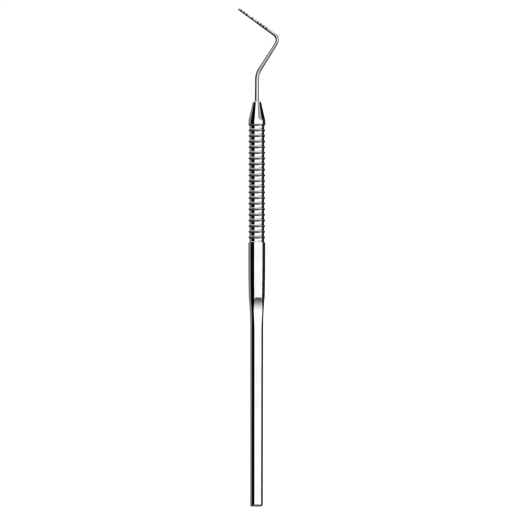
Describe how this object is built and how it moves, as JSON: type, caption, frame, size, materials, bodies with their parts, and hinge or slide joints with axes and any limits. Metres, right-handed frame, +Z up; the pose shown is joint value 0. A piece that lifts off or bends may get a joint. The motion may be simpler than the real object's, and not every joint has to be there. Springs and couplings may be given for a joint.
{
  "type": "graduated periodontal probe",
  "caption": "Slim polished steel dental hand instrument with a ribbed grip, flatted rear shaft and a screw-in bent wire tip with black depth rings.",
  "frame": {"origin": "centre of the handle's flat rear end face", "axes": "+Y along the handle's axis towards the working end, +Z up when the instrument lies on two of its shaft flats, +X to the right, the side that the wire first bends to"},
  "size_m": [0.0116, 0.146, 0.0048],
  "materials": {
    "handle_steel": "mirror-polished stainless steel",
    "cone_steel": "mirror-polished stainless steel",
    "wire_steel": "fine satin stainless steel, ground along its length",
    "braze_silver": "soft silver braze",
    "mark_black": "matte black filling"
  },
  "bodies": {
    "grip_handle": {"handle": "handle_steel"},
    "working_end": {"socket_cone": "cone_steel", "braze_fillet": "braze_silver", "probe_wire": "wire_steel", "mark_01mm": "mark_black", "mark_02mm": "mark_black", "mark_03mm": "mark_black", "mark_05mm": "mark_black", "mark_07mm": "mark_black", "mark_08mm": "mark_black", "mark_09mm": "mark_black", "mark_10mm": "mark_black"}
  },
  "joints": [
    {"name": "insert_unscrews", "type": "slide", "parent": "grip_handle", "child": "working_end", "axis": [0, 1, 0], "range_m": [0, 0.0075]}
  ]
}
